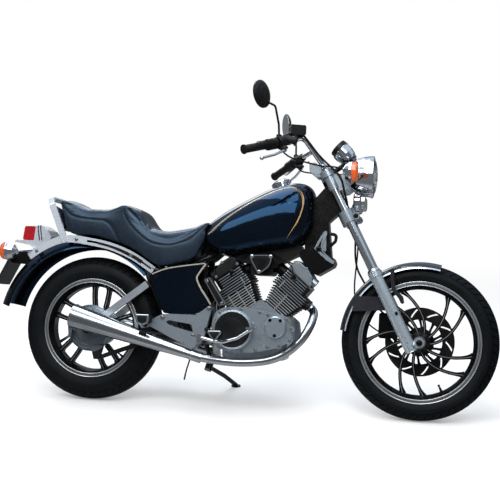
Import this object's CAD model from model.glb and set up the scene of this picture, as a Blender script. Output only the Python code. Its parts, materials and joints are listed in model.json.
"""Looks of a cruiser motorcycle that leans on its side stand.

Pieces are drawn upright and in millimetres: X forward from the middle of the wheelbase, Y to the rider's
left, Z up from the floor. A finished mesh is then put into the leaning frame, in metres."""
import json
from math import acos, asin, atan2, cos, degrees, exp, hypot, pi, radians, sin, sqrt

import bmesh
import bpy
from mathutils import Matrix, Vector
from mathutils.bvhtree import BVHTree
from mathutils.kdtree import KDTree


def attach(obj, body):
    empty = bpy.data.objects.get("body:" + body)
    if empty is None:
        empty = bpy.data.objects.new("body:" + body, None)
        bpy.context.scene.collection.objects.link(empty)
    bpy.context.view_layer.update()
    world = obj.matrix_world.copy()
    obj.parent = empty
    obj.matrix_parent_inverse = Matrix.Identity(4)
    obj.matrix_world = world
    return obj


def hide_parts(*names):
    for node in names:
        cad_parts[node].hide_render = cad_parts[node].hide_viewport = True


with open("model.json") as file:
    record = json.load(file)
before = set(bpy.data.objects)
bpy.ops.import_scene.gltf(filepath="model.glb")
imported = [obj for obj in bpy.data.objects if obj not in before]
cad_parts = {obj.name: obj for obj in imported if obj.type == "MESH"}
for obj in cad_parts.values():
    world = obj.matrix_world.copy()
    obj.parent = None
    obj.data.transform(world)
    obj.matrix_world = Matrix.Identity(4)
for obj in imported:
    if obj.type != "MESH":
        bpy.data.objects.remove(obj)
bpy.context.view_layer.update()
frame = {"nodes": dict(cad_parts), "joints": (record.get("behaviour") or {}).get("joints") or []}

# Stance: each axle by X and Z, the steering axis by its rake and its distance behind the front axle
FRONT_AXLE = (728.0, 333.9)
REAR_AXLE = (-728.0, 322.2)
RAKE = radians(27.5)
AXIS_BEHIND = 54.0

# Wheels: outer radius of the tyre, radius of its round crown, radius of the rim
FRONT_TYRE_R, FRONT_CROWN_R, FRONT_RIM_R = 333.0, 48.0, 259.0
REAR_TYRE_R, REAR_CROWN_R, REAR_RIM_R = 321.0, 64.0, 221.0

# Camera, in the leaning frame
VIEW_PLACE = (0.8330, -4.1980, 1.2406)
VIEW_YAW = radians(-10.893)
VIEW_PITCH = radians(-7.483)
VIEW_ROLL = radians(0.677)
LENS_MM = 68.64
FILM_MM = 36.0


def beside(place, y=0.0):
    """A place given by X and Z, at a distance to the left of the middle plane."""
    return Vector((place[0], y, place[1]))


def outward(y):
    return Vector((0, 1 if y > 0 else -1, 0))


def ray(angle):
    """The direction at an angle round an axle, in degrees."""
    return Vector((cos(radians(angle)), 0, sin(radians(angle))))


WHEEL_JOINT = next(j for j in frame["joints"] if j["name"] == "front_wheel_spin")
LEAN = asin(-WHEEL_JOINT["axis"][2])
TURN = Matrix.Rotation(-LEAN, 4, "X")
TO_ROW = (Matrix.Translation(Vector(WHEEL_JOINT["pos_m"]) - TURN @ (beside(FRONT_AXLE) / 1000)) @ TURN
          @ Matrix.Scale(0.001, 4))
FROM_ROW = TO_ROW.inverted()
ACROSS = Vector((0, 1, 0))
STEER_UP = Vector((-sin(RAKE), 0, cos(RAKE)))
STEER_AHEAD = Vector((cos(RAKE), 0, sin(RAKE)))


def at_fork(ahead, side, along):
    """A point given ahead of the steering axis, to the left of it and along it."""
    return beside(FRONT_AXLE, side) + STEER_AHEAD * (ahead - AXIS_BEHIND) + STEER_UP * along


# Shader nodes

def feed(tree, node, values):
    """Links sockets to a node's inputs, and sets plain values and colours on them."""
    for key, value in values.items():
        socket = node.inputs[key]
        if isinstance(value, bpy.types.NodeSocket):
            tree.links.new(value, socket)
        else:
            socket.default_value = (*value, 1.0) if socket.type == "RGBA" else value


def node_in(tree, kind, values=None, **settings):
    made = tree.nodes.new("ShaderNode" + kind)
    for key, value in settings.items():
        setattr(made, key, value)
    feed(tree, made, values or {})
    return made


def maths(tree, operation, *values):
    return node_in(tree, "Math", dict(enumerate(values)), operation=operation).outputs["Value"]


def object_place(tree):
    return node_in(tree, "TexCoord").outputs["Object"]


def new_group(name, inputs, output):
    """A node group of plain numbers, with the sockets inside it."""
    group = bpy.data.node_groups.new(name, "ShaderNodeTree")
    for label, value in inputs.items():
        socket = group.interface.new_socket(label, in_out="INPUT", socket_type="NodeSocketFloat")
        socket.default_value = value
    group.interface.new_socket(output, in_out="OUTPUT", socket_type="NodeSocketFloat")
    return group, group.nodes.new("NodeGroupInput").outputs, group.nodes.new("NodeGroupOutput")


PATCH_SHARE, SPECK_SHARE = 0.62, 0.45


def patchy_group():
    """Uneven cover, such as dust, haze or stain: large patches broken by small specks."""
    group, given, end = new_group(
        "patchy_cover", {"Patch Size": 6.0, "Speck Size": 90.0, "Bare": 0.45, "Full": 0.75}, "Cover")
    place = object_place(group)
    patches = node_in(group, "TexNoise", {"Vector": place, "Scale": given["Patch Size"], "Detail": 4.0})
    specks = node_in(group, "TexNoise", {"Vector": place, "Scale": given["Speck Size"], "Detail": 6.0})
    patch_part = maths(group, "MULTIPLY", patches.outputs["Fac"], PATCH_SHARE)
    both = maths(group, "MULTIPLY_ADD", specks.outputs["Fac"], SPECK_SHARE, patch_part)
    cover = node_in(group, "MapRange", {"Value": both, "From Min": given["Bare"], "From Max": given["Full"]})
    feed(group, end, {"Cover": cover.outputs["Result"]})
    return group


def grain_group():
    """The fine unevenness of a cast, moulded or pressed skin, as a height."""
    group, given, end = new_group(
        "skin_grain", {"Grain Size": 900.0, "Ripple Size": 60.0, "Ripple": 0.3}, "Height")
    place = object_place(group)
    grain = node_in(group, "TexVoronoi", {"Vector": place, "Scale": given["Grain Size"]})
    ripple = node_in(group, "TexNoise", {"Vector": place, "Scale": given["Ripple Size"], "Detail": 3.0})
    height = maths(group, "MULTIPLY_ADD", ripple.outputs["Fac"], given["Ripple"], grain.outputs["Distance"])
    feed(group, end, {"Height": height})
    return group


PATCHY = patchy_group()
GRAIN = grain_group()


# Materials

def new_material(name):
    material = bpy.data.materials.new(name)
    material.use_nodes = True
    return material, material.node_tree, material.node_tree.nodes["Principled BSDF"]


def patchy(tree, patch=6.0, speck=90.0, bare=0.45, full=0.75):
    sizes = {"Patch Size": patch, "Speck Size": speck, "Bare": bare, "Full": full}
    return node_in(tree, "Group", sizes, node_tree=PATCHY).outputs["Cover"]


def mix_colour(tree, mask, one, two):
    """Blends two colours by a mask; each may be a colour or a socket."""
    return node_in(tree, "Mix", {"Factor": mask, 6: one, 7: two}, data_type="RGBA").outputs[2]


def spread(tree, mask, low, high):
    return node_in(tree, "MapRange", {"Value": mask, "To Min": low, "To Max": high}).outputs["Result"]


def bumpy(tree, shader, strength, distance, grain=900.0, ripple=60.0, mix=0.3):
    sizes = {"Grain Size": grain, "Ripple Size": ripple, "Ripple": mix}
    height = node_in(tree, "Group", sizes, node_tree=GRAIN).outputs["Height"]
    bump = node_in(tree, "Bump", {"Strength": strength, "Distance": distance, "Height": height})
    feed(tree, shader, {"Normal": bump.outputs["Normal"]})


def finish_of(name, clean, worn, metallic, smooth, rough, patch=6.0, speck=90.0, bare=0.45, full=0.8,
              bump=None, specular=0.5, tint=None):
    """A surface whose colour and roughness go from clean to worn by patches."""
    material, tree, shader = new_material(name)
    cover = patchy(tree, patch, speck, bare, full)
    feed(tree, shader, {"Base Color": mix_colour(tree, cover, clean, worn),
                        "Roughness": spread(tree, cover, smooth, rough),
                        "Metallic": metallic, "Specular IOR Level": specular})
    if tint:
        feed(tree, shader, {"Specular Tint": tint})
    if bump:
        bumpy(tree, shader, *bump)
    return material


def upright_place(tree, origin):
    """X, distance from the middle plane, and height, upright, in metres from a point in millimetres."""
    moved = node_in(tree, "Mapping", {"Vector": object_place(tree), "Location": TO_ROW @ Vector(origin),
                                      "Rotation": (-LEAN, 0, 0)}, vector_type="TEXTURE")
    split = node_in(tree, "SeparateXYZ", {"Vector": moved.outputs["Vector"]}).outputs
    return split["X"], maths(tree, "ABSOLUTE", split["Y"]), split["Z"]


def wheel_place(tree, axle):
    """Radius from a wheel's axle, and distance from its middle plane, both in metres."""
    along, side, height = upright_place(tree, beside(axle))
    flat = node_in(tree, "CombineXYZ", {"X": along, "Z": height}).outputs["Vector"]
    return node_in(tree, "VectorMath", {0: flat}, operation="LENGTH").outputs["Value"], side


def above(tree, value, limit):
    return maths(tree, "GREATER_THAN", value, limit)


def below(tree, value, limit):
    return maths(tree, "LESS_THAN", value, limit)


# Clean and worn colours of the black that shows between bright edges
ENAMEL = (0.003, 0.003, 0.0034), (0.012, 0.011, 0.010)
DARK_CASTING = (0.004, 0.004, 0.0045), (0.014, 0.013, 0.012)

# Where one finish meets another. Distances from the middle plane, in metres
FIN_SIDE, HEAD_SIDE, HEAD_FIN_SIDE, STRUT_SIDE = 0.0772, 0.0795, 0.0802, 0.0825
GUARD_SIDE, GUARD_INNER_SIDE = 0.0648, 0.0605
# Radii from the axle, in metres: the guard inside and outside, and the brake plate
GUARD_INSIDE, GUARD_OUTSIDE, PLATE_EDGE = 0.3114, 0.3408, 0.1085
# Places in millimetres; the rest is in metres from them: the heads' fins end below FIN_TOP, the front head's
# cover starts at COVER_START along COVER_WAY, and the struts start behind STRUT_START
CRANK, ARM_TOP = (42, 0, 361), (-440, 0, 338)
FIN_TOP, COVER_START, COVER_WAY, STRUT_START = 0.262, 0.273, (0.629, 0.777), -0.002
# The rim's lip and the groove in it, in millimetres inwards from the edge
LIP, GROOVE = 18, (10.5, 8.5)


def two_finishes(tree, shader, bright, metal, paint, patch, speck, smooth, rough):
    """Metal where the mask is one, paint where it is nought, both with wear."""
    cover = patchy(tree, patch, speck, 0.4, 0.85)
    one = mix_colour(tree, cover, *metal)
    other = mix_colour(tree, cover, *paint)
    feed(tree, shader, {"Base Color": mix_colour(tree, bright, other, one), "Metallic": bright,
                        "Roughness": spread(tree, cover, smooth, rough), "Specular IOR Level": 0.3})


def wheel_finish(name, axle, rim_radius):
    """Black paint, with the rim's lip left bright but for the groove round it."""
    material, tree, shader = new_material(name)
    radius, _ = wheel_place(tree, axle)
    lip = above(tree, radius, (rim_radius - LIP) / 1000)
    groove = maths(tree, "MULTIPLY", above(tree, radius, (rim_radius - GROOVE[0]) / 1000),
                   below(tree, radius, (rim_radius - GROOVE[1]) / 1000))
    two_finishes(tree, shader, maths(tree, "SUBTRACT", lip, groove), ((0.50, 0.53, 0.55), (0.36, 0.37, 0.38)),
                 ((0.002, 0.002, 0.0024), (0.007, 0.0066, 0.006)), 14.0, 160.0, 0.24, 0.42)
    return material


def fin_finish():
    """Black barrels whose fins are bright on their outer edges."""
    material, tree, shader = new_material("barrel_fins")
    _, side, _ = upright_place(tree, CRANK)
    two_finishes(tree, shader, above(tree, side, FIN_SIDE), ((0.62, 0.64, 0.65), (0.40, 0.40, 0.40)), ENAMEL,
                 18.0, 200.0, 0.3, 0.5)
    return material


def head_finish():
    """The front head is lacquered alloy; the rear head is black with bright fin edges."""
    material, tree, shader = new_material("head_castings")
    along, side, height = upright_place(tree, CRANK)
    out = maths(tree, "ADD", maths(tree, "MULTIPLY", along, COVER_WAY[0]),
                maths(tree, "MULTIPLY", height, COVER_WAY[1]))
    cover = maths(tree, "MAXIMUM", above(tree, side, HEAD_SIDE), above(tree, out, COVER_START))
    front = maths(tree, "MULTIPLY", above(tree, along, 0.0), cover)
    edge = maths(tree, "MULTIPLY", above(tree, side, HEAD_FIN_SIDE), below(tree, height, FIN_TOP))
    two_finishes(tree, shader, maths(tree, "MAXIMUM", front, edge), ((0.36, 0.40, 0.44), (0.24, 0.26, 0.28)),
                 DARK_CASTING, 12.0, 150.0, 0.3, 0.5)
    bumpy(tree, shader, 0.1, 0.0005)
    return material


def swingarm_finish():
    """Alloy struts above, enamelled arms below."""
    material, tree, shader = new_material("swingarm_finish")
    along, side, height = upright_place(tree, ARM_TOP)
    upper = maths(tree, "MULTIPLY", above(tree, height, 0.0), below(tree, along, STRUT_START))
    strut = maths(tree, "MULTIPLY", upper, above(tree, side, STRUT_SIDE))
    two_finishes(tree, shader, strut, ((0.62, 0.67, 0.71), (0.50, 0.53, 0.56)), ENAMEL, 12.0, 150.0, 0.3, 0.5)
    return material


def guard_finish():
    """A chromed outer skin; the underside and the stays are dark."""
    material, tree, shader = new_material("front_guard")
    radius, side = wheel_place(tree, FRONT_AXLE)
    skin = maths(tree, "MULTIPLY", above(tree, radius, GUARD_INSIDE), below(tree, side, GUARD_SIDE))
    under = maths(tree, "MULTIPLY", below(tree, radius, GUARD_OUTSIDE), below(tree, side, GUARD_INNER_SIDE))
    bright = node_in(tree, "Clamp", {"Value": maths(tree, "SUBTRACT", skin, under)}).outputs["Result"]
    cover = patchy(tree, 9.0, 130.0, 0.5, 0.85)
    chrome = mix_colour(tree, cover, (0.66, 0.70, 0.76), (0.54, 0.56, 0.6))
    dark = mix_colour(tree, cover, (0.016, 0.017, 0.022), (0.03, 0.03, 0.032))
    feed(tree, shader, {"Base Color": mix_colour(tree, bright, dark, chrome),
                        "Metallic": spread(tree, bright, 0.0, 0.6),
                        "Roughness": spread(tree, cover, 0.07, 0.3)})
    return material


def drum_finish():
    """A cast brake plate; what reaches beyond it is enamelled."""
    material, tree, shader = new_material("brake_plate_finish")
    radius, _ = wheel_place(tree, REAR_AXLE)
    two_finishes(tree, shader, below(tree, radius, PLATE_EDGE), ((0.20, 0.23, 0.26), (0.13, 0.14, 0.15)),
                 DARK_CASTING, 16.0, 200.0, 0.4, 0.6)
    bumpy(tree, shader, 0.2, 0.0007)
    return material


def lens_finish(name, colour):
    """Coloured plastic that lets some light through."""
    material, tree, shader = new_material(name)
    shade = mix_colour(tree, patchy(tree, 20.0, 200.0), colour, tuple(c * 0.75 for c in colour))
    feed(tree, shader, {"Base Color": shade, "Roughness": 0.12, "Coat Weight": 0.8, "Coat Roughness": 0.04,
                        "Transmission Weight": 0.25})
    return material


def clear_finish():
    material, tree, shader = new_material("clear_glass")
    cover = patchy(tree, 16.0, 150.0)
    feed(tree, shader, {"Base Color": mix_colour(tree, cover, (0.95, 0.97, 0.98), (0.88, 0.9, 0.91)),
                        "Roughness": spread(tree, cover, 0.02, 0.1), "Transmission Weight": 1.0, "IOR": 1.2})
    return material


SKY_TINT = (0.16, 0.46, 0.95)
VINYL_TINT = (0.5, 0.74, 1.0)
# Each finish: its name, clean and worn colour, metallic, clean and worn roughness, patch and speck size
MATERIALS = {
    "paint": finish_of("gloss_black_paint", (0.0015, 0.0018, 0.0024), (0.0035, 0.0038, 0.0045), 0, 0.04, 0.10,
                       4, 60, tint=SKY_TINT),
    "chrome": finish_of("bright_chrome", (0.66, 0.69, 0.72), (0.50, 0.51, 0.52), 1, 0.06, 0.2, 9, 130,
                        bare=0.5, full=0.85),
    "dull_chrome": finish_of("worn_chrome", (0.56, 0.57, 0.57), (0.38, 0.37, 0.35), 1, 0.14, 0.34, 12, 150),
    "satin": finish_of("satin_rails", (0.60, 0.64, 0.70), (0.54, 0.575, 0.63), 0.45, 0.24, 0.34, 8, 50),
    "alloy": finish_of("lacquered_alloy", (0.32, 0.365, 0.41), (0.27, 0.305, 0.34), 0.7, 0.27, 0.36, 9, 60,
                       bump=(0.02, 0.0004, 500)),
    "slider": finish_of("fork_alloy", (0.42, 0.48, 0.53), (0.38, 0.43, 0.47), 0.65, 0.25, 0.34, 9, 60),
    "pipe": finish_of("pipe_chrome", (0.46, 0.48, 0.51), (0.30, 0.30, 0.30), 1, 0.12, 0.3, 14, 120,
                      bare=0.4),
    "steel": finish_of("bare_steel", (0.36, 0.37, 0.38), (0.16, 0.15, 0.13), 1, 0.25, 0.5, 18, 220),
    "disc": finish_of("brake_disc", (0.014, 0.012, 0.011), (0.04, 0.034, 0.03), 0.6, 0.35, 0.5, 14, 240,
                      specular=0.3),
    "frame": finish_of("frame_enamel", (0.0022, 0.0022, 0.0026), (0.007, 0.0066, 0.006), 0, 0.2, 0.42, 10,
                       140, bump=(0.05, 0.0004), specular=0.2),
    "plastic": finish_of("black_plastic", (0.003, 0.003, 0.0034), (0.009, 0.0085, 0.008), 0, 0.34, 0.56, 12,
                         180, bump=(0.15, 0.0004), specular=0.2),
    "rubber": finish_of("soft_rubber", (0.003, 0.003, 0.0034), (0.011, 0.0105, 0.010), 0, 0.5, 0.75, 14,
                        200, bump=(0.2, 0.0005), specular=0.18),
    "tyre": finish_of("tyre_rubber", (0.0012, 0.0022, 0.0032), (0.007, 0.008, 0.009), 0, 0.46, 0.7, 7, 120,
                      bare=0.42, full=0.85, bump=(0.25, 0.0006), specular=0.12),
    "vinyl": finish_of("seat_vinyl", (0.006, 0.009, 0.015), (0.012, 0.016, 0.024), 0, 0.3, 0.44, 5, 70,
                       bump=(0.3, 0.0005, 1300, 90, 0.25), specular=0.6, tint=VINYL_TINT),
    "seam": finish_of("seam_thread", (0.0015, 0.0015, 0.002), (0.004, 0.004, 0.005), 0, 0.5, 0.7,
                      specular=0.2),
    "amber": lens_finish("amber_lens", (0.86, 0.13, 0.012)),
    "red": lens_finish("red_lens", (0.46, 0.004, 0.012)),
    "clear": clear_finish(),
    "mirror": finish_of("mirror_face", (0.85, 0.86, 0.87), (0.78, 0.79, 0.8), 1, 0.02, 0.06),
    "gold": finish_of("gold_stripe", (0.60, 0.34, 0.12), (0.5, 0.3, 0.12), 0.35, 0.25, 0.4, 10, 120),
    "pale_gold": finish_of("pale_trim", (0.60, 0.58, 0.48), (0.46, 0.44, 0.38), 0.6, 0.22, 0.4, 10, 120),
    "wheel_edge": finish_of("wheel_edges", (0.52, 0.52, 0.52), (0.38, 0.38, 0.38), 0.9, 0.28, 0.45, 12, 140),
    "fin_metal": finish_of("fin_metal", (0.50, 0.52, 0.53), (0.34, 0.34, 0.34), 0.9, 0.3, 0.5, 16, 180),
    "dark_metal": finish_of("dark_metal", (0.01, 0.011, 0.013), (0.026, 0.026, 0.026), 0.6, 0.3, 0.5,
                            12, 160),
    "needle": finish_of("gauge_needle", (0.75, 0.12, 0.04), (0.6, 0.1, 0.04), 0, 0.4, 0.5),
    "white": finish_of("dial_marks", (0.8, 0.8, 0.78), (0.7, 0.7, 0.68), 0, 0.5, 0.6),
    "front_wheel": wheel_finish("front_wheel_paint", FRONT_AXLE, FRONT_RIM_R),
    "rear_wheel": wheel_finish("rear_wheel_paint", REAR_AXLE, REAR_RIM_R),
    "fins": fin_finish(),
    "heads": head_finish(),
    "swingarm": swingarm_finish(),
    "guard": guard_finish(),
    "drum": drum_finish(),
}

NODE_FINISH = {
    "paint": "fuel_tank side_covers rear_fender",
    "frame": "frame rear_shock side_stand plate_bracket gauge_bracket caliper backrest",
    "alloy": "crankcase brackets fork_clamps final_drive headlight_brackets head_mount_trim",
    "slider": "fork_sliders",
    "pipe": "exhausts",
    "satin": "seat_rails grab_bar tail_lamp_housing",
    "chrome": "fuel_cap rear_indicators fork_tubes handlebar gauge_cups headlight_shell front_indicators "
              "horns pedals levers",
    "steel": "rear_axle front_axle",
    "disc": "front_disc",
    "plastic": "clutch_insert intake bar_controls mirrors gauge_bezels intake_cover heat_shield",
    "rubber": "grips footpegs cables hoses",
    "vinyl": "seat",
    "tyre": "front_tyre rear_tyre",
    "front_wheel": "front_wheel",
    "rear_wheel": "rear_wheel",
    "fins": "cylinders",
    "heads": "cylinder_heads",
    "swingarm": "swingarm",
    "guard": "front_fender",
    "drum": "brake_plate",
    "amber": "rear_indicator_lenses front_indicator_lenses",
    "red": "tail_lamp_lens",
    "clear": "headlight_lens",
    "mirror": "mirror_glass",
}
for finish, names in NODE_FINISH.items():
    for node_name in names.split():
        for holder in frame["nodes"][node_name].material_slots:
            holder.material = MATERIALS[finish]


# Tools for the added pieces

def placed(name, data):
    """A new object in the scene."""
    holder = bpy.data.objects.new(name, data)
    bpy.context.scene.collection.objects.link(holder)
    return holder


def new_pieces(count):
    return [bmesh.new() for _ in range(count)]


def done(name, bm, finish, body="chassis", sharp=35.0, replaces=()):
    """Turns the faces out, puts the upright mesh into the leaning frame, and gives it finish and body."""
    bmesh.ops.recalc_face_normals(bm, faces=bm.faces)
    mesh = bpy.data.meshes.new(name)
    bm.to_mesh(mesh)
    bm.free()
    mesh.transform(TO_ROW)
    mesh.shade_smooth()
    mesh.set_sharp_from_angle(angle=radians(sharp))
    mesh.materials.append(MATERIALS[finish])
    piece = placed(name, mesh)
    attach(piece, body)
    if replaces:
        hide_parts(*replaces)


def verts_of(grown):
    return [g for g in grown if isinstance(g, bmesh.types.BMVert)]


def faces_in(grown):
    return [g for g in grown if isinstance(g, bmesh.types.BMFace)]


def all_of(bm):
    return bm.verts[:] + bm.edges[:] + bm.faces[:]


def soften(bm, edges, offset, segments=2):
    bmesh.ops.bevel(bm, geom=edges, offset=offset, segments=segments, profile=0.5, affect="EDGES",
                    material=-1)


def add_turned(bm, profile, centre, axis, steps=48, closed=False):
    """Spins an outline, given as 3D points, once about an axis."""
    verts = [bm.verts.new(p) for p in profile]
    edges = [bm.edges.new(pair) for pair in zip(verts, verts[1:])]
    if closed:
        edges.append(bm.edges.new((verts[-1], verts[0])))
    bmesh.ops.spin(bm, geom=verts + edges, cent=centre, axis=axis, dvec=(0, 0, 0), angle=2 * pi, steps=steps,
                   use_merge=True, use_duplicate=False)
    bmesh.ops.remove_doubles(bm, verts=bm.verts, dist=0.01)


def add_lathe(bm, centre, axis, outline, steps=40, closed=False):
    """Turns an outline of (distance along the axis, radius) pairs."""
    axis = Vector(axis).normalized()
    out = axis.orthogonal().normalized()
    centre = Vector(centre)
    profile = [centre + axis * along + out * radius for along, radius in outline]
    add_turned(bm, profile, centre, axis, steps, closed)


def add_bead(bm, centre, axis, radius, size, steps=64):
    """A ring of round section."""
    ring = [(sin(a) * size, radius + cos(a) * size) for a in (k * pi / 4 for k in range(8))]
    add_lathe(bm, centre, axis, ring, steps, True)


def eased(points, steps=6):
    """A smooth line through a few points."""
    points = [Vector(p) for p in points]
    line = []
    for i in range(len(points) - 1):
        before, after = points[max(i - 1, 0)], points[min(i + 2, len(points) - 1)]
        a, b = points[i], points[i + 1]
        for k in range(steps):
            t = k / steps
            line.append((2 * a + (b - before) * t + (2 * before - 5 * a + 4 * b - after) * t ** 2
                         + (3 * a - before - 3 * b + after) * t ** 3) / 2)
    line.append(points[-1])
    return line


def faces_of(name):
    """The upright faces of a CAD node, to lay trim on."""
    bm = bmesh.new()
    bm.from_mesh(frame["nodes"][name].data)
    bm.transform(FROM_ROW)
    faces = BVHTree.FromBMesh(bm)
    bm.free()
    return faces


BLUNT_TIP = 0.12


def add_strip(bm, spots, normals, width, height, taper=0.0):
    """A flat strip along a line; width is a number or a function of 0 to 1, taper narrows both ends."""
    edge, made, last = None, [], len(spots) - 1
    for i, (spot, normal) in enumerate(zip(spots, normals)):
        ahead = spots[min(i + 1, last)] - spots[max(i - 1, 0)]
        half = (width(i / last) if callable(width) else width) / 2
        from_end = min(i / last, 1 - i / last)
        if from_end < taper:
            half *= max(from_end / taper, BLUNT_TIP)
        across = ahead.cross(normal).normalized() * half
        places = (spot + across, spot - across)
        if edge is None:
            pair = [bm.verts.new(place) for place in places]
            edge = bm.edges.new(pair)
            continue
        grown = bmesh.ops.extrude_edge_only(bm, edges=[edge])["geom"]
        fresh = verts_of(grown)
        nearer = min(fresh, key=lambda v: (v.co - pair[0].co).length)
        pair = [nearer, fresh[1 - fresh.index(nearer)]]
        for vert, place in zip(pair, places):
            vert.co = place
        edge = next(g for g in grown if isinstance(g, bmesh.types.BMEdge) and set(g.verts) == set(pair))
        made += faces_in(grown)
    for vert in verts_of(bmesh.ops.extrude_face_region(bm, geom=made)["geom"]):
        near = min(range(len(spots)), key=lambda i: (spots[i] - vert.co).length_squared)
        vert.co += normals[near] * height


def side_strip(bm, line, y, width, height, steps=4):
    """A strip on a flat side of the machine, through places given by X and Z."""
    spots = eased([beside(place, y) for place in line], steps)
    add_strip(bm, spots, [outward(y)] * len(spots), width, height)


def lay_strip(bm, faces, points, width, height, taper=0.0, steps=6):
    """A strip pressed onto a surface, on both sides of the machine."""
    for side in (1, -1):
        spots, normals = [], []
        for point in eased(points, steps):
            spot, normal, _, _ = faces.find_nearest(Vector((point.x, point.y * side, point.z)))
            spots.append(spot)
            normals.append(normal)
        soft = [sum(normals[max(i - 2, 0):i + 3], Vector()).normalized() for i in range(len(normals))]
        add_strip(bm, spots, soft, width, height, taper)


def add_bolt(bm, spot, axis, radius=5.0, height=4.0, socket=False):
    """A hexagon head on its washer, or a round head with a socket."""
    axis = Vector(axis).normalized()
    spot = Vector(spot) - axis * 0.6
    add_lathe(bm, spot, axis, [(0, 0), (0, radius * 1.35), (1.6, radius * 1.35), (1.6, 0)], 20)
    if socket:
        add_lathe(bm, spot, axis, [(1.6, 0), (1.6, radius), (height, radius), (height + 0.6, radius * 0.86),
                                   (height + 0.6, radius * 0.5), (height * 0.5, radius * 0.45),
                                   (height * 0.5, 0)], 18)
        return
    place = (Matrix.Translation(spot + axis * (height / 2 + 1.5))
             @ axis.to_track_quat("Z", "Y").to_matrix().to_4x4())
    head = bmesh.ops.create_cone(bm, cap_ends=True, segments=6, radius1=radius, radius2=radius, depth=height,
                                 matrix=place)
    top = next(f for v in head["verts"] for f in v.link_faces if f.normal.dot(axis) > 0.9)
    soften(bm, top.edges[:], radius * 0.12, 1)


def bolt_row(bm, places, y, *size):
    """Bolts at places given by X and Z, facing the side that they are on."""
    for place in places:
        add_bolt(bm, beside(place, y), outward(y), *size)


def bolt_circle(bm, middle, y, radius, angles, *size):
    spots = [beside(middle) + ray(angle) * radius for angle in angles]
    bolt_row(bm, [(spot.x, spot.z) for spot in spots], y, *size)


def add_block(bm, place, size, soft=0.0):
    """A box put in its place by a matrix, with soft edges."""
    made = bmesh.ops.create_cube(bm, size=1.0, matrix=place @ Matrix.Diagonal((*size, 1)))
    if soft:
        soften(bm, list(dict.fromkeys(e for v in made["verts"] for e in v.link_edges)), soft)


def add_box(bm, centre, size, turn=0.0, soft=0.0):
    add_block(bm, Matrix.Translation(centre) @ Matrix.Rotation(turn, 4, "Y"), size, soft)


def add_made(bm, data, place=Matrix()):
    """Adds the mesh that a curve or a text makes."""
    holder = bpy.data.objects.new("line", data)
    mesh = bpy.data.meshes.new_from_object(holder)
    mesh.transform(place)
    bm.from_mesh(mesh)
    bpy.data.objects.remove(holder)
    bpy.data.meshes.remove(mesh)


def add_wire(bm, points, radius):
    """A round line that eases through its points."""
    curve = bpy.data.curves.new("line", "CURVE")
    curve.dimensions = "3D"
    curve.bevel_depth = radius
    curve.bevel_resolution = 2
    curve.use_fill_caps = True
    curve.resolution_u = 5
    run = curve.splines.new("NURBS")
    run.points.add(len(points) - 1)
    for spot, point in zip(run.points, points):
        spot.co = (*point, 1.0)
    run.order_u = 3
    run.use_endpoint_u = True
    add_made(bm, curve)


def add_plate(bm, outline, low, high, soft=0.0):
    """An outline in X and Z, given a thickness between two sides."""
    face = bm.faces.new([bm.verts.new((x, low, z)) for x, z in outline])
    grown = bmesh.ops.extrude_face_region(bm, geom=[face])["geom"]
    bmesh.ops.translate(bm, verts=verts_of(grown), vec=(0, high - low, 0))
    if soft:
        soften(bm, [e for f in faces_in(grown) for e in f.edges], soft)


def both_ways(bm):
    """Adds the mirror image on the other side of the machine."""
    twin = bmesh.ops.duplicate(bm, geom=all_of(bm))["geom"]
    bmesh.ops.scale(bm, verts=verts_of(twin), vec=(1, -1, 1))


# Tyres

TREAD_DEPTH = 5.0
PROFILE_STEPS = 56
SIDE_BANDS = ((0.74, 0.77), (0.9, 0.93))
BAND_LIFT = 0.81
BEAD_DEPTH = 8.0

# Rows of tread blocks: for each, distance across the crown, and where the block starts and ends in its pitch
FRONT_ROWS = [
    [(0.6, 0.02, 0.98), (6.0, 0.05, 1.01), (9.5, 0.0, 0.96)],
    [(13.0, 0.10, 0.98), (20.0, 0.22, 1.10), (25.0, 0.30, 1.18)],
    [(28.5, 0.36, 1.24), (38.0, 0.62, 1.48), (47.0, 0.80, 1.62), (56.0, 0.90, 1.70)],
]
REAR_ROWS = [
    [(0.8, 0.02, 0.97), (8.0, 0.0, 0.95), (12.5, 0.05, 1.0)],
    [(16.5, 0.10, 1.0), (26.0, 0.2, 1.1), (32.0, 0.26, 1.16)],
    [(36.5, 0.34, 1.22), (50.0, 0.56, 1.42), (60.0, 0.70, 1.54), (68.0, 0.76, 1.58)],
]


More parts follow.
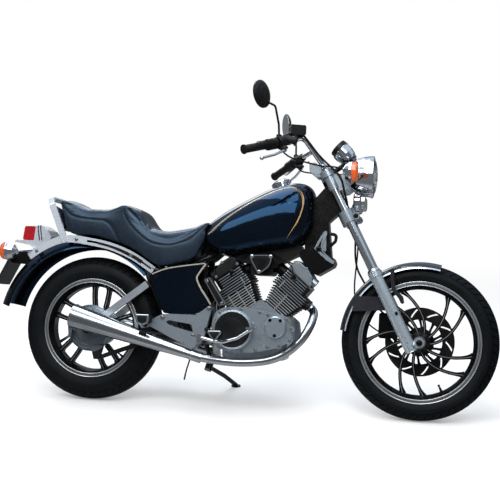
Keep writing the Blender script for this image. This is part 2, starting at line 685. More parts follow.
def tyre(end, axle, radius, crown, rim_radius, pitches, rows):
    """A carcass with raised sidewall bands, and a ring of tread blocks."""
    hub = beside(axle)
    centre_r = radius - crown
    widest = acos((rim_radius - centre_r) / crown) * crown
    tread_half = rows[-1][-1][0]

    def on_tyre(angle, across, lift):
        """Angle round the wheel in degrees, distance across the crown, and lift off it."""
        reach = centre_r + (crown + lift) * cos(across / crown)
        return hub + ray(angle) * reach + ACROSS * (crown + lift) * sin(across / crown)

    bm, blocks = new_pieces(2)
    profile = []
    for i in range(PROFILE_STEPS + 1):
        across = widest * (2 * i / PROFILE_STEPS - 1)
        lift = -TREAD_DEPTH if abs(across) < tread_half else 0.0
        if any(low < abs(across) / widest < high for low, high in SIDE_BANDS):
            lift = BAND_LIFT
        profile.append(on_tyre(0.0, across, lift))
    for y in (profile[-1].y - 6, profile[0].y + 6):
        profile.append(Vector((rim_radius - BEAD_DEPTH + axle[0], y, axle[1])))
    add_turned(bm, profile, hub, ACROSS, 144, True)
    pitch = 360 / pitches
    for stations in rows:
        for side, shift in ((1, 0.0), (-1, 0.5)):
            edge, made = None, []
            for across, start, stop in stations:
                pair = [blocks.verts.new(on_tyre((part + shift) * pitch, side * across, -TREAD_DEPTH))
                        for part in (start, (start + stop) / 2, stop)]
                if edge:
                    made += [blocks.faces.new((edge[k], edge[k + 1], pair[k + 1], pair[k])) for k in range(2)]
                edge = pair
            for vert in verts_of(bmesh.ops.extrude_face_region(blocks, geom=made)["geom"]):
                core = hub + Vector((vert.co.x - axle[0], 0, vert.co.z - axle[1])).normalized() * centre_r
                vert.co += (vert.co - core).normalized() * TREAD_DEPTH
    bmesh.ops.spin(blocks, geom=all_of(blocks), cent=hub, axis=ACROSS, dvec=(0, 0, 0),
                   angle=radians(pitch - 360), steps=pitches - 1, use_duplicate=True)
    spare = bpy.data.meshes.new("blocks")
    blocks.to_mesh(spare)
    blocks.free()
    bm.from_mesh(spare)
    bpy.data.meshes.remove(spare)
    done(end + "_tyre_tread", bm, "tyre", end + "_wheel", 40.0, (end + "_tyre",))


tyre("front", FRONT_AXLE, FRONT_TYRE_R, FRONT_CROWN_R, FRONT_RIM_R, 60, FRONT_ROWS)
tyre("rear", REAR_AXLE, REAR_TYRE_R, REAR_CROWN_R, REAR_RIM_R, 54, REAR_ROWS)


# Wheels

SPOKE_PAIRS = 5
SPOKE_HALF = 13.0
EDGE_WIDTH, EDGE_HEIGHT = 2.2, 0.9
FOOT_START, FOOT_SPREAD = 0.8, 16.0
# Each wheel: axle, radius where the edges start and stop, hub radius, spoke width, and the two spokes of a
# pair by start angle, end angle and bulge
SPOKES = (("front", FRONT_AXLE, 44, FRONT_RIM_R - 30, 38.0, 14.0, ((29, 60.4, 2), (-8, 38.5, 4))),
          ("rear", REAR_AXLE, 98, REAR_RIM_R - 30, 56.0, 19.0, ((18, 20.5, 2), (-16, -0.5, 2))))


def spokes(end, axle, near, far, hub, wide, sorts):
    """Bright edges down the middle of every spoke, and broad blades between them."""
    def blade_width(t):
        return wide + FOOT_SPREAD * (max(t - FOOT_START, 0.0) / (1 - FOOT_START)) ** 2

    edges, blades = new_pieces(2)
    for pair in range(SPOKE_PAIRS):
        for start, stop, bulge in sorts:
            line = []
            for k in range(9):
                reach = near + (far - near) * k / 8
                t = (reach - hub) / (far + 2.0 - hub)
                angle = start + 360 / SPOKE_PAIRS * pair + (stop - start) * t + bulge * sin(pi * t)
                spot = beside(axle) + ray(angle) * reach
                line.append((spot.x, spot.z))
            for side in (-1, 1):
                side_strip(edges, line, side * (SPOKE_HALF + 0.3), EDGE_WIDTH, EDGE_HEIGHT, 2)
            spots = eased([beside(place, -SPOKE_HALF - 0.4) for place in line], 2)
            add_strip(blades, spots, [ACROSS] * len(spots), blade_width, SPOKE_HALF * 2 + 0.8)
    done(end + "_spoke_edges", edges, "wheel_edge", end + "_wheel")
    done(end + "_spoke_blades", blades, "frame", end + "_wheel")


VALVE = [(0, 0), (0, 8), (5, 6), (20, 4.6), (22, 3.4), (26, 3.4), (26, 5), (34, 5), (35, 0)]


def valve(end, axle, rim_radius, angle):
    bm = bmesh.new()
    inward = (-ray(angle) - ACROSS * 0.25).normalized()
    foot = beside(axle, -2) + ray(angle) * (rim_radius - 34)
    add_lathe(bm, foot - inward * 3, inward, VALVE, 16)
    done(end + "_valve", bm, "rubber", end + "_wheel")


def rim_beads(end, axle, rim_radius, edge):
    """Fine rings round both lips of a rim."""
    bm = bmesh.new()
    for y in (-edge, edge):
        for inset, size in ((1.5, 1.6), (16.5, 1.2)):
            add_bead(bm, beside(axle, y), ACROSS, rim_radius - inset, size, 96)
    done(end + "_rim_beads", bm, "wheel_edge", end + "_wheel")


def disc_bolts():
    bm = bmesh.new()
    bolt_circle(bm, FRONT_AXLE, 63.5, 52, range(12, 372, 60), 6, 5)
    done("disc_bolts", bm, "steel", "front_wheel")


ROTOR_LOOPS = (96, 106, 111, 116, 121, 126, 131, 136, 141, 149)
ROTOR_FACE, ROTOR_THICK = 57.6, 5.8
SLOT_FROM, SLOT_TO = 111, 141
SLOT_SLANT = radians(0.5)


def front_rotor():
    """The brake disc: a ring with slanting slots, on a carrier with windows between its arms."""
    hub, face = beside(FRONT_AXLE), ACROSS * 57.5
    bm = bmesh.new()
    profile = [hub + Vector((reach, ROTOR_FACE, 0)) for reach in ROTOR_LOOPS]
    add_turned(bm, profile, hub, ACROSS, 180)
    gone = []
    for part in bm.faces:
        middle = part.calc_center_median() - hub
        step = int(degrees(atan2(middle.z, middle.x)) % 360 // 2)
        if SLOT_FROM < hypot(middle.x, middle.z) < SLOT_TO and step % 18 in (4, 5):
            gone.append(part)
    bmesh.ops.delete(bm, geom=gone, context="FACES")
    for vert in bm.verts:
        arm = vert.co - hub
        vert.co = hub + Matrix.Rotation(SLOT_SLANT * (hypot(arm.x, arm.z) - ROTOR_LOOPS[0]), 3, "Y") @ arm
    grown = bmesh.ops.extrude_face_region(bm, geom=bm.faces[:])["geom"]
    bmesh.ops.translate(bm, verts=verts_of(grown), vec=(0, ROTOR_THICK, 0))
    add_lathe(bm, beside(FRONT_AXLE, 57.4), ACROSS, [(0, 44), (0, 58), (6.0, 58), (6.0, 44)], 72, True)
    for k in range(10):
        angle = 36 * k + 10
        spots = eased([hub + ray(angle) * 55 + face, hub + ray(angle + degrees(0.16)) * 99 + face], 4)
        add_strip(bm, spots, [ACROSS] * len(spots), lambda t: 17.0 - 7.0 * sin(pi * t), 6.0)
    done("brake_rotor", bm, "disc", "front_wheel", 30.0, ("front_disc",))


for plan in SPOKES:
    spokes(*plan)
front_rotor()
rim_beads("front", FRONT_AXLE, FRONT_RIM_R, 42.0)
rim_beads("rear", REAR_AXLE, REAR_RIM_R, 54.0)
disc_bolts()
valve("front", FRONT_AXLE, FRONT_RIM_R, -64)
valve("rear", REAR_AXLE, REAR_RIM_R, -42)


# Seat and back pad

PILLION_SEAM = [(-884, 876), (-861, 848), (-831, 824), (-783, 812), (-736, 808), (-689, 805), (-666, 800),
                (-641, 781), (-616, 744), (-590, 700)]
RIDER_SEAM = [(-577, 874), (-580, 843), (-549, 790), (-500, 747), (-453, 716), (-407, 704), (-361, 704),
              (-317, 716), (-272, 735), (-230, 776), (-203, 803)]
FLANK = 128
ROUNDING_PASSES = 7
SKIN_ROOM = 0.003
GROOVE_DEPTH, GROOVE_WIDTH = 0.0018, 0.005
CLOTH_FRAMES = 20


def seam_spots(faces, line):
    """A seam's places on both flanks of the seat, in the leaning frame."""
    runs = []
    for side in (-1, 1):
        points = eased([beside(place, side * FLANK) for place in line], 8)
        runs.append([faces.find_nearest(TO_ROW @ point)[0] for point in points])
    return runs


def evaluated(piece):
    return piece.evaluated_get(bpy.context.evaluated_depsgraph_get())


def swell(piece, held, cap):
    """Blows the pad up as cloth, holding some of its points; none moves further than the cap."""
    group = piece.vertex_groups.new(name="held")
    for i, weight in enumerate(held):
        if weight > 0:
            group.add([i], weight, "REPLACE")
    cloth = piece.modifiers.new("cloth", "CLOTH")
    cloth.settings.quality = 5
    cloth.settings.vertex_group_mass = "held"
    cloth.settings.use_pressure = True
    cloth.settings.uniform_pressure_force = 4.0
    cloth.settings.effector_weights.gravity = 0.0
    scene = bpy.context.scene
    for number in range(1, CLOTH_FRAMES + 1):
        scene.frame_set(number)
    blown = evaluated(piece).to_mesh()
    moves = [blown.vertices[i].co - vert.co for i, vert in enumerate(piece.data.vertices)]
    for vert, move in zip(piece.data.vertices, moves):
        vert.co += move * min(1.0, cap / max(move.length, 1e-9))
    evaluated(piece).to_mesh_clear()
    piece.modifiers.clear()
    piece.vertex_groups.clear()
    scene.frame_set(1)


def soft_pad(name, node_name, voxel, cap, lines):
    """A pad grown from its solid: rounded, blown up as cloth, and drawn in along its seams."""
    bm = bmesh.new()
    bm.from_mesh(frame["nodes"][node_name].data)
    bmesh.ops.remove_doubles(bm, verts=bm.verts, dist=0.00001)
    mesh = bpy.data.meshes.new(name)
    bm.to_mesh(mesh)
    piece = placed(name, mesh)
    even = piece.modifiers.new("even", "REMESH")
    even.mode = "VOXEL"
    even.voxel_size = voxel
    mesh = bpy.data.meshes.new_from_object(evaluated(piece))
    piece.modifiers.clear()
    piece.data = mesh
    bm.clear()
    bm.from_mesh(mesh)
    for _ in range(ROUNDING_PASSES):
        bmesh.ops.smooth_vert(bm, verts=bm.verts, factor=0.5, use_axis_x=True, use_axis_y=True,
                              use_axis_z=True)
    bm.normal_update()
    for vert in bm.verts:
        vert.co -= vert.normal * SKIN_ROOM
    bm.normal_update()
    faces = BVHTree.FromBMesh(bm)
    seams = [run for line in lines for run in seam_spots(faces, line)]
    bm.to_mesh(mesh)
    bm.free()
    tree = KDTree(max(sum(len(run) for run in seams), 1))
    for number, spot in enumerate(spot for run in seams for spot in run):
        tree.insert(spot, number)
    tree.balance()
    near = [tree.find(vert.co)[2] if seams else 1.0 for vert in mesh.vertices]
    upward = TURN @ Vector((0, 0, 1))
    held = [1.0 if vert.normal.dot(upward) < -0.25 or gap < voxel * 1.3 else 0.0
            for vert, gap in zip(mesh.vertices, near)]
    swell(piece, held, cap)
    for vert, gap in zip(mesh.vertices, near):
        vert.co -= vert.normal * GROOVE_DEPTH * exp(-(gap / GROOVE_WIDTH) ** 2)
    finer = piece.modifiers.new("finer", "SUBSURF")
    finer.levels = finer.render_levels = 1
    mesh.shade_smooth()
    mesh.materials.clear()
    mesh.materials.append(MATERIALS["vinyl"])
    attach(piece, "chassis")
    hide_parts(node_name)
    return piece, seams


def soft_goods():
    piece, seams = soft_pad("seat_cushion", "seat", 0.006, 0.009, (PILLION_SEAM, RIDER_SEAM))
    bm = bmesh.new()
    bm.from_mesh(piece.data)
    faces = BVHTree.FromBMesh(bm)
    bm.clear()
    for run in seams:
        spots, normals = [], []
        for spot in run:
            near, normal, _, _ = faces.find_nearest(spot)
            spots.append(FROM_ROW @ near)
            normals.append((FROM_ROW.to_3x3() @ normal).normalized())
        add_strip(bm, spots, normals, 3.0, 0.9)
    done("seat_seams", bm, "seam")
    soft_pad("back_pad", "backrest", 0.005, 0.006, ())


soft_goods()


# Tank, side covers and rails

TANK_STRIPE = [(-196, -110, 757), (-178, -117, 773), (-135, -118, 814), (-80, -114, 858), (-17, -109, 900),
               (47, -106, 934), (110, -98, 962), (154, -97, 972), (182, -98, 970), (204, -106, 953),
               (215, -114, 931), (218, -122, 905), (213, -130, 869), (197, -138, 821), (177, -141, 786),
               (154, -133, 751)]
COVER_TRIM = [(-428, 573), (-371, 597), (-300, 612), (-196, 628), (-190, 627), (-213, 592), (-227, 563),
              (-208, 521), (-179, 480), (-160, 452)]
COVER_SIDE, RAIL_SIDE = 147.6, 111.0
RAIL_LINE = [(-490, 624), (-530, 647), (-600, 676), (-650, 691), (-700, 701)]
CAP_FOOT, CAP_UP = Vector((108, 0, 978)), Vector((-0.33, 0, 0.944))


def tank_stripes():
    faces = faces_of("fuel_tank")
    inner = [(x * 0.985 - 2, y, z - 9) for x, y, z in TANK_STRIPE[1:12]]
    for name, line, width, taper, finish in (("tank_stripe_top", TANK_STRIPE[:9], 4.4, 0.0, "pale_gold"),
                                             ("tank_stripe_front", TANK_STRIPE[8:], 5.6, 0.3, "gold"),
                                             ("tank_pinline", inner, 1.6, 0.0, "gold")):
        bm = bmesh.new()
        lay_strip(bm, faces, line, width, 0.8, taper)
        done(name, bm, finish)


def side_trim():
    """Pale trim and screws of the side covers, and the dark band let into the slot of each seat rail."""
    trim, screws, bands = new_pieces(3)
    for side in (-1, 1):
        side_strip(trim, COVER_TRIM[:4], side * COVER_SIDE, 5.0, 1.8)
        side_strip(trim, COVER_TRIM[4:], side * COVER_SIDE, 7.0, 1.8)
        side_strip(bands, RAIL_LINE, side * RAIL_SIDE, lambda t: 17.0 - 9.0 * t, 1.9, 5)
    bolt_row(screws, [(-410, 560), (-190, 446), (-350, 424)], 148, 6, 3, True)
    both_ways(screws)
    done("side_cover_trim", trim, "pale_gold")
    done("side_cover_screws", screws, "frame")
    done("rail_inlays", bands, "plastic")


def filler_cap():
    """Lock flap and keyhole on the filler cap."""
    flap, lock = new_pieces(2)
    add_lathe(flap, CAP_FOOT + CAP_UP * 35, CAP_UP, [(0, 0), (0, 30), (2, 31), (4, 28), (5, 20), (5, 0)], 40)
    add_bead(flap, CAP_FOOT + CAP_UP * 27, CAP_UP, 43.0, 1.6, 56)
    done("filler_flap", flap, "frame")
    add_lathe(lock, CAP_FOOT + CAP_UP * 40, CAP_UP, [(0, 0), (0, 10), (1.6, 10), (2.2, 8), (2.2, 0)], 28)
    add_box(lock, CAP_FOOT + CAP_UP * 42.4, (2.0, 9.0, 0.8))
    done("filler_lock", lock, "chrome")


tank_stripes()
side_trim()
filler_cap()


# Engine

# Each bank: name, lean, and the direction in which its head looks away from the other
BANKS = (("front", radians(39), 1), ("rear", radians(-35), -1))
CLUTCH_SPOT = (-49.0, 351.0)
POINT_COVER = (131, 370)
# Bolts of the covers on the right, the nose and the left, by the Y of the face that they stand on
COVER_BOLTS = {
    -176: [(-126, 386), (-112, 420), (-74, 436), (-20, 438), (60, 428), (96, 420), (-136, 340), (-124, 296),
           (-84, 272), (-10, 262), (50, 268), (100, 284)],
    -182: [(178, 404), (196, 366), (194, 318), (150, 292)],
    162: [(-126, 384), (-110, 416), (-60, 428), (100, 424), (166, 396), (182, 330), (148, 296), (60, 270),
          (-40, 268), (-126, 300)],
}
ROCKER_RIM = [(-70, 284), (-70, 314), (-60, 325), (-8, 325), (28, 314), (44, 290), (44, 282)]
INTAKE_RIM = [(0, 666), (14, 672), (74, 674), (88, 668), (79, 630), (44, 601), (32, 604), (4, 650), (0, 666)]
INTAKE_PANEL = [(22, 656), (68, 658), (58, 634), (42, 618)]
# Edges of the heat shield, with the width of the strip on each
SHIELD_EDGES = [((-192, 558), (-124, 450), 3.5), ((-170, 566), (-95, 456), 6.0),
                ((-192, 558), (-170, 566), 3.5), ((-124, 450), (-95, 456), 3.5)]


def on_bank(turn, x, y, z):
    """A point on a cylinder: across it, to the side, and out along it from the crank."""
    return Vector(CRANK) + Matrix.Rotation(turn, 3, "Y") @ Vector((x, y, z))


def engine_bolts():
    bolts, screws = new_pieces(2)
    for face, places in COVER_BOLTS.items():
        bolt_row(bolts, places, face, 5.2, 5, True)
    bolt_circle(bolts, (CRANK[0], CRANK[2]), 180, 64, range(20, 380, 72), 5, 4, True)
    done("engine_bolts", bolts, "steel")
    bolt_circle(screws, POINT_COVER, -194, 36, (52, 128, 270), 5.5, 3, True)
    done("cover_screws", screws, "frame")


def clutch_rings():
    """Stepped rings round the dark insert, and a low plain disc in its middle."""
    rim, plate = new_pieces(2)
    for radius, size in ((77.0, 1.3), (82.0, 1.0)):
        add_bead(rim, beside(CLUTCH_SPOT, -201.6), ACROSS, radius, size, 80)
    bolt_circle(rim, CLUTCH_SPOT, -176, 88, range(20, 380, 120), 5, 5, True)
    done("clutch_rim", rim, "slider")
    add_lathe(plate, beside(CLUTCH_SPOT, -199), -ACROSS, [(0, 0), (0, 76), (3.4, 76), (4.0, 74.5), (4.0, 69),
                                                          (3.4, 67.5), (3.4, 0)], 72)
    add_bead(plate, beside(CLUTCH_SPOT, -202.4), ACROSS, 46.0, 0.8, 64)
    done("clutch_plate", plate, "dark_metal")


def head_trim():
    """Raised line round each front rocker cover, cover bolts, and the ribs that tie the fins together."""
    trim, ribs = new_pieces(2)
    for name, turn, away in BANKS:
        for side in (-1, 1):
            if name == "front":
                line = eased([on_bank(turn, x * away, side * 74.5, z) for x, z in ROCKER_RIM], 4)
                add_strip(trim, line, [outward(side)] * len(line), 3.0, 3.2)
            for x, z in ((-68, 288), (42, 290), (-14, 330)):
                add_bolt(trim, on_bank(turn, x * away, side * 76, z), (0, side, 0), 5, 4)
            for x in (-2,) if name == "front" else (-2, 40, -44):
                add_box(ribs, on_bank(turn, x * away, side * 76.5, 142), (4, 5, 92), turn)
            add_box(ribs, on_bank(turn, -50 * away, side * 79, 210), (4, 4, 40), turn)
    done("rocker_trim", trim, "alloy")
    done("fin_ribs", ribs, "fin_metal")


def spark_plugs():
    """Plugs in the heads' sides, their caps, and the leads up under the tank."""
    metal, caps = new_pieces(2)
    for _, turn, away in BANKS:
        for side in (-1, 1):
            foot = on_bank(turn, -20 * away, side * 78, 262)
            out = outward(side) + Matrix.Rotation(turn, 3, "Y") @ Vector((-0.5 * away, 0, 0.25))
            out.normalize()
            add_lathe(metal, foot, out, [(0, 0), (0, 10), (6, 10), (6, 7), (14, 6), (14, 0)], 18)
            add_lathe(caps, foot + out * 12, out, [(0, 0), (0, 9), (4, 10), (22, 8.5), (30, 7), (32, 0)], 20)
            tip = foot + out * 40
            top = Vector((30 + 12 * away, side * 40, 700))
            add_wire(caps, [foot + out * 30, tip, tip + Vector((0, side * -6, 40)),
                            (tip + top) / 2 + Vector((0, 0, 26)), top], 3.4)
    done("spark_plugs", metal, "steel")
    done("plug_leads", caps, "rubber")


def engine_trim():
    """Bright frame and plain panel of the three-cornered cover, and the heat shield's bright edges."""
    border, panel, shield = new_pieces(3)
    side_strip(border, INTAKE_RIM, -112.2, 5.0, 3.0)
    bolt_row(border, [(4, 669), (86, 671), (38, 603)], -113, 6.5, 4, True)
    done("intake_border", border, "chrome")
    add_plate(panel, INTAKE_PANEL, -114.4, -112.0, 1.0)
    done("intake_panel", panel, "frame")
    for start, stop, width in SHIELD_EDGES:
        side_strip(shield, (start, stop), -149.8, width, 2.4, 1)
    bolt_row(shield, [(-180, 552), (-112, 460)], -150, 5, 3, True)
    done("shield_border", shield, "chrome")


engine_bolts()
clutch_rings()
head_trim()
spark_plugs()
engine_trim()


# Exhaust

MUFFLER_FRONT = Vector((-209, 0, 229))
MUFFLER_AXIS = (Vector((-770, 0, 375)) - MUFFLER_FRONT).normalized()
MUFFLER_UP = Vector((MUFFLER_AXIS.z, 0, -MUFFLER_AXIS.x))
# Distance along the axis, and radius there
MUFFLER_SHAPE = [(150, 28.0), (310, 37.0), (460, 46.0), (572, 52.5)]


def muffler_details():
    """Seams above and below, rings where the muffler steps, and the rubber pad on its hanger."""
    seams, bands, pads = new_pieces(3)
    for side in (-1, 1):
        start = MUFFLER_FRONT + ACROSS * 176 * side
        for angle in (radians(-24), radians(156)):
            way = outward(side) * cos(angle) + MUFFLER_UP * sin(angle)
            line = [start + MUFFLER_AXIS * along + way * (radius - 0.2) for along, radius in MUFFLER_SHAPE]
            spots = eased(line, 4)
            add_strip(seams, spots, [way] * len(spots), 3.0, 1.4, 0.03)
        for along, radius in ((150, 28.4), (24, 21.5), (572, 53.0)):
            add_bead(bands, start + MUFFLER_AXIS * along, MUFFLER_AXIS, radius, 1.3, 56)
        add_lathe(bands, start + MUFFLER_AXIS * 2, MUFFLER_AXIS,
                  [(0, 20.5), (0, 22.6), (18, 23.6), (18, 21.5)], 48, True)
        hanger = start + MUFFLER_AXIS * 246 + MUFFLER_UP * 23 + ACROSS * 27 * side
        add_box(pads, hanger, (34, 12, 16), 0.26, 3)
    done("muffler_seams", seams, "chrome")
    done("muffler_bands", bands, "dull_chrome")
    done("muffler_pads", pads, "rubber")


muffler_details()


# Fork and brakes

MOUNT_INSET = [(304, 770), (296, 752), (285, 730), (280, 716), (296, 702), (318, 686), (300, 706), (294, 724),
               (298, 748)]
LEG_AHEAD, LEG_SIDE = 10, 95


def mount_inset():
    """The dark middle of the silver trim on the steering head's cover, and its bolt."""
    inset, bolts = new_pieces(2)
    for side in (-1, 1):
        add_plate(inset, MOUNT_INSET, side * 67.5, side * 69.0)
        add_bolt(bolts, (286, side * 71, 713), (0, side, 0), 9, 3, True)
    done("mount_inset", inset, "frame")
    done("mount_bolts", bolts, "frame")


def fork_details():
    """Dust seals, rings and caps on the legs, and the studs in their clamps and feet."""
    seals, rings, studs = new_pieces(3)
    for side in (-1, 1):
        leg = LEG_SIDE * side
        add_lathe(seals, at_fork(LEG_AHEAD, leg, 347), STEER_UP,
                  [(0, 18.6), (0, 27), (4, 28), (10, 25), (14, 21), (16, 18.8)], 40, True)
        for along in (345, 337, 329):
            add_bead(rings, at_fork(LEG_AHEAD, leg, along), STEER_UP, 29.2, 0.9, 48)
        add_bead(rings, at_fork(LEG_AHEAD, leg, -20), STEER_UP, 25.0, 1.4, 40)
        add_lathe(rings, at_fork(LEG_AHEAD, leg, 838), STEER_UP, [(0, 0), (0, 16), (5, 16), (8, 12), (8, 0)],
                  24)
        add_bolt(studs, at_fork(44, 112 * side, 596), (0, side, 0), 8, 6, True)
        add_bolt(studs, at_fork(54, 129 * side, 0), (0, side, 0), 9, 5, True)
        add_bolt(studs, at_fork(28, 112 * side, -6), -STEER_AHEAD, 5, 4, True)
        add_bolt(studs, at_fork(20, 119 * side, 150), (0, side, 0), 6, 5)
    done("fork_seals", seals, "dull_chrome", "steering")
    done("fork_rings", rings, "chrome", "steering")
    done("fork_studs", studs, "frame", "steering")


def caliper_details():
    bm = bmesh.new()
    bolt_row(bm, [(580, 372), (580, 420)], 102.5, 7, 5)
    bolt_row(bm, [(632, 380), (632, 424)], 102.5, 7, 5, True)
    add_bead(bm, (580, 102.4, 396), ACROSS, 18, 1.6, 40)
    done("caliper_bolts", bm, "steel", "steering")


mount_inset()
fork_details()
caliper_details()


# Lamps, gauges and controls

LAMP_FRONT = Vector((498, 0, 1040))
LAMP_AXIS = Vector((1, 0, 0))
GAUGE_NORMAL = Vector((-0.764, 0, 0.645))
# Each dial: its side, its highest number, and the step between numbers
DIALS = ((1, 160, 20), (-1, 10, 1))
DIAL_START, DIAL_SWEEP = 225, 270
FLUTE_PITCH = 8.6
BAR_END = Vector((52.0, 378.0, 1104.0))
BAR_INNER = Vector((160.0, 215.0, 1156.0))
FLUID_BOX = Matrix.Translation((188, -197, 1182)) @ Matrix.Rotation(radians(20), 4, "Z")


def headlight():
    """A fluted glass over a reflector with its bulb shade, in a bright rim."""
    reflector, shade, glass, flutes, rim = new_pieces(5)
    add_lathe(reflector, LAMP_FRONT, LAMP_AXIS, [(1.0, 0), (1.4, 20), (3.5, 50), (7.0, 80.5), (4.5, 80.5),
                                                 (0.4, 50), (0.1, 0)], 64)
    add_lathe(shade, LAMP_FRONT + LAMP_AXIS, LAMP_AXIS, [(0, 0), (0, 17), (4, 19), (6, 15), (7, 0)], 32)
    for k in range(3):
        turn = radians(120 * k + 90)
        out = Vector((0, cos(turn), sin(turn)))
        add_wire(shade, [LAMP_FRONT + LAMP_AXIS * 3 + out * 16, LAMP_FRONT + LAMP_AXIS * 5 + out * 60], 1.4)
    add_lathe(glass, LAMP_FRONT, LAMP_AXIS,
              [(8.4, 81.4), (17, 64), (22.5, 36), (24.6, 12), (24.8, 0), (21.8, 0), (21.6, 12), (19.4, 36),
               (14, 62), (7.6, 79)], 72)
    for k in range(-8, 9):
        y = k * FLUTE_PITCH
        line = []
        for j in range(7):
            z = sqrt(76.0 ** 2 - y * y) * (j / 3 - 1) * 0.97
            line.append(LAMP_FRONT + Vector((20.8 - 13.0 * (hypot(y, z) / 80) ** 2.2, y, z)))
        add_wire(flutes, line, 0.8)
    add_bead(rim, LAMP_FRONT + LAMP_AXIS * 7, LAMP_AXIS, 86.0, 3.0, 80)
    add_bolt(rim, LAMP_FRONT + Vector((2, 0, -91)), (0, 0, -1), 4, 3, True)
    done("headlight_reflector", reflector, "chrome", "steering", 60)
    done("headlight_bulb_shade", shade, "steel", "steering")
    done("headlight_glass", glass, "clear", "steering", 60, ("headlight_lens",))
    done("headlight_flutes", flutes, "clear", "steering", 60)
    done("headlight_rim", rim, "chrome", "steering")


def add_number(bm, label, size, place):
    """A plain number on a dial, as thin flat figures."""
    text = bpy.data.curves.new("figure", "FONT")
    text.body = label
    text.size = size
    text.extrude = 0.15
    text.resolution_u = 2
    text.align_x = "CENTER"
    text.align_y = "CENTER"
    add_made(bm, text, place)


def gauges():
    """Two dials with generic numbers, their needles, glasses and rings."""
    faces, marks, needles, glass, rims = new_pieces(5)
    turn = Matrix((-ACROSS, GAUGE_NORMAL.cross(-ACROSS).normalized(), GAUGE_NORMAL)).transposed().to_4x4()

    def on_dial(angle, reach, lift):
        """The place at an angle and a distance from the middle, turned to look outwards."""
        way = Vector((cos(angle), sin(angle), 0)) * reach
        return base @ Matrix.Translation(way + Vector((0, 0, lift)))

    for side, top, step in DIALS:
        centre = Vector((366, 50 * side, 1144)) + GAUGE_NORMAL * 20.3
        base = Matrix.Translation(centre) @ turn
        add_lathe(faces, centre, GAUGE_NORMAL, [(0, 0), (0, 32.6), (0.8, 32.6), (0.8, 0)], 48)
        count = 2 * top // step
        for k in range(count + 1):
            angle = radians(DIAL_START - DIAL_SWEEP * k / count)
            length = 2.6 if k % 2 else 4.5
            add_block(marks, on_dial(angle, 30.5 - length / 2, 1.0) @ Matrix.Rotation(angle, 4, "Z"),
                      (length, 0.8, 0.3))
            if k % 2 == 0:
                add_number(marks, str(step * k // 2), 5.0, on_dial(angle, 21.5, 1.0))
        start = radians(DIAL_START)
        add_block(needles, on_dial(start, 11, 2.0) @ Matrix.Rotation(start, 4, "Z"), (28, 1.4, 0.5))
        add_lathe(needles, centre + GAUGE_NORMAL, GAUGE_NORMAL, [(0, 0), (0, 4), (2, 3.4), (2, 0)], 20)
        add_lathe(glass, centre + GAUGE_NORMAL * 3.2, GAUGE_NORMAL, [(0, 0), (0, 33), (1.2, 33), (1.2, 0)],
                  48)
        add_bead(rims, centre - GAUGE_NORMAL * 18.0, GAUGE_NORMAL, 40.4, 1.4, 56)
    done("gauge_dials", faces, "plastic", "steering")
    done("gauge_marks", marks, "white", "steering")
    done("gauge_needles", needles, "needle", "steering")
    done("gauge_glass", glass, "clear", "steering")
    done("gauge_rings", rims, "chrome", "steering")


def lamp_trim():
    """Rims of the indicators, and lines on the tail lamp and its housing."""
    front, rear, lines, ribs = new_pieces(4)
    for side in (-1, 1):
        for x, radius, size, steps in ((423, 43.6, 1.3, 56), (394, 18.0, 0.8, 40), (402, 30.0, 0.8, 40)):
            add_bead(front, (x, 165 * side, 1037), LAMP_AXIS, radius, size, steps)
        add_bead(rear, (-1094.5, 176 * side, 648), LAMP_AXIS, 39.6, 1.3, 56)
    faces = faces_of("tail_lamp_housing")
    for x in (-1004, -992):
        line = [(x - 6, 0, 790), (x - 6, 40, 790), (x - 3, 60, 780), (x, 68, 752), (x + 8, 68, 706)]
        lay_strip(lines, faces, line, 4.5, 1.0, 0.0, 5)
    for k in range(1, 6):
        add_box(ribs, (-1080.2 + 8 * k / 6, 0, 707 + 64 * k / 6), (1.6, 100, 2.4), -0.12, 0.6)
    done("front_indicator_rims", front, "chrome", "steering")
    done("rear_indicator_rims", rear, "chrome")
    done("tail_housing_lines", lines, "plastic")
    done("tail_lens_ribs", ribs, "red")


def bar_details():
    """Ribbed grips, housings and switches, lever pivots, and the fluid box's lid with its screws."""
    ribs, lids, switches, boxes = new_pieces(4)
    for side in (-1, 1):
        mirror = Vector((1, side, 1))
        start = BAR_END * mirror
        way = (BAR_INNER - BAR_END).normalized() * mirror
        for k in range(16):
            add_bead(ribs, start + way * (10 + 6.6 * k), way, 17.2, 0.9, 28)
        add_box(switches, start + way * 148 + Vector((-20, 0, 8)), (10, 12, 8), 0.3, 1.5)
        add_box(switches, start + way * 158 + Vector((-22, 0, -6)), (8, 8, 8), 0.3, 1.5)
        add_bolt(switches, start + way * 185 + Vector((35, 0, -18)), (0, 0, 1), 5, 4)
        add_lathe(boxes, start + way * 127, way, [(0, 12), (0, 22), (3, 25.5), (34, 25.5), (37, 22), (41, 22),
                                                  (44, 19), (74, 18), (80, 12)], 32, True)
        add_box(boxes, start + way * 150 + Vector((6, 0, -24)), (38, 34, 22), 0.35, 4)
        if side < 0:
            add_box(boxes, start + way * 178 + Vector((22, 0, 6)), (54, 32, 30), 0.2, 5)
    add_block(lids, FLUID_BOX @ Matrix.Translation((2, 0, 41)), (58, 46, 3), 1.2)
    for x in (-24, 28):
        for y in (-18, 18):
            add_bolt(switches, FLUID_BOX @ Vector((x, y, 42)), (0, 0, 1), 2.6, 1.6, True)
    done("grip_ribs", ribs, "rubber", "steering")
    done("switch_boxes", boxes, "plastic", "steering")
    done("fluid_lid", lids, "dark_metal", "steering")
    done("switches", switches, "dark_metal", "steering")


headlight()
gauges()
lamp_trim()
bar_details()


# Rear end, pegs and brackets

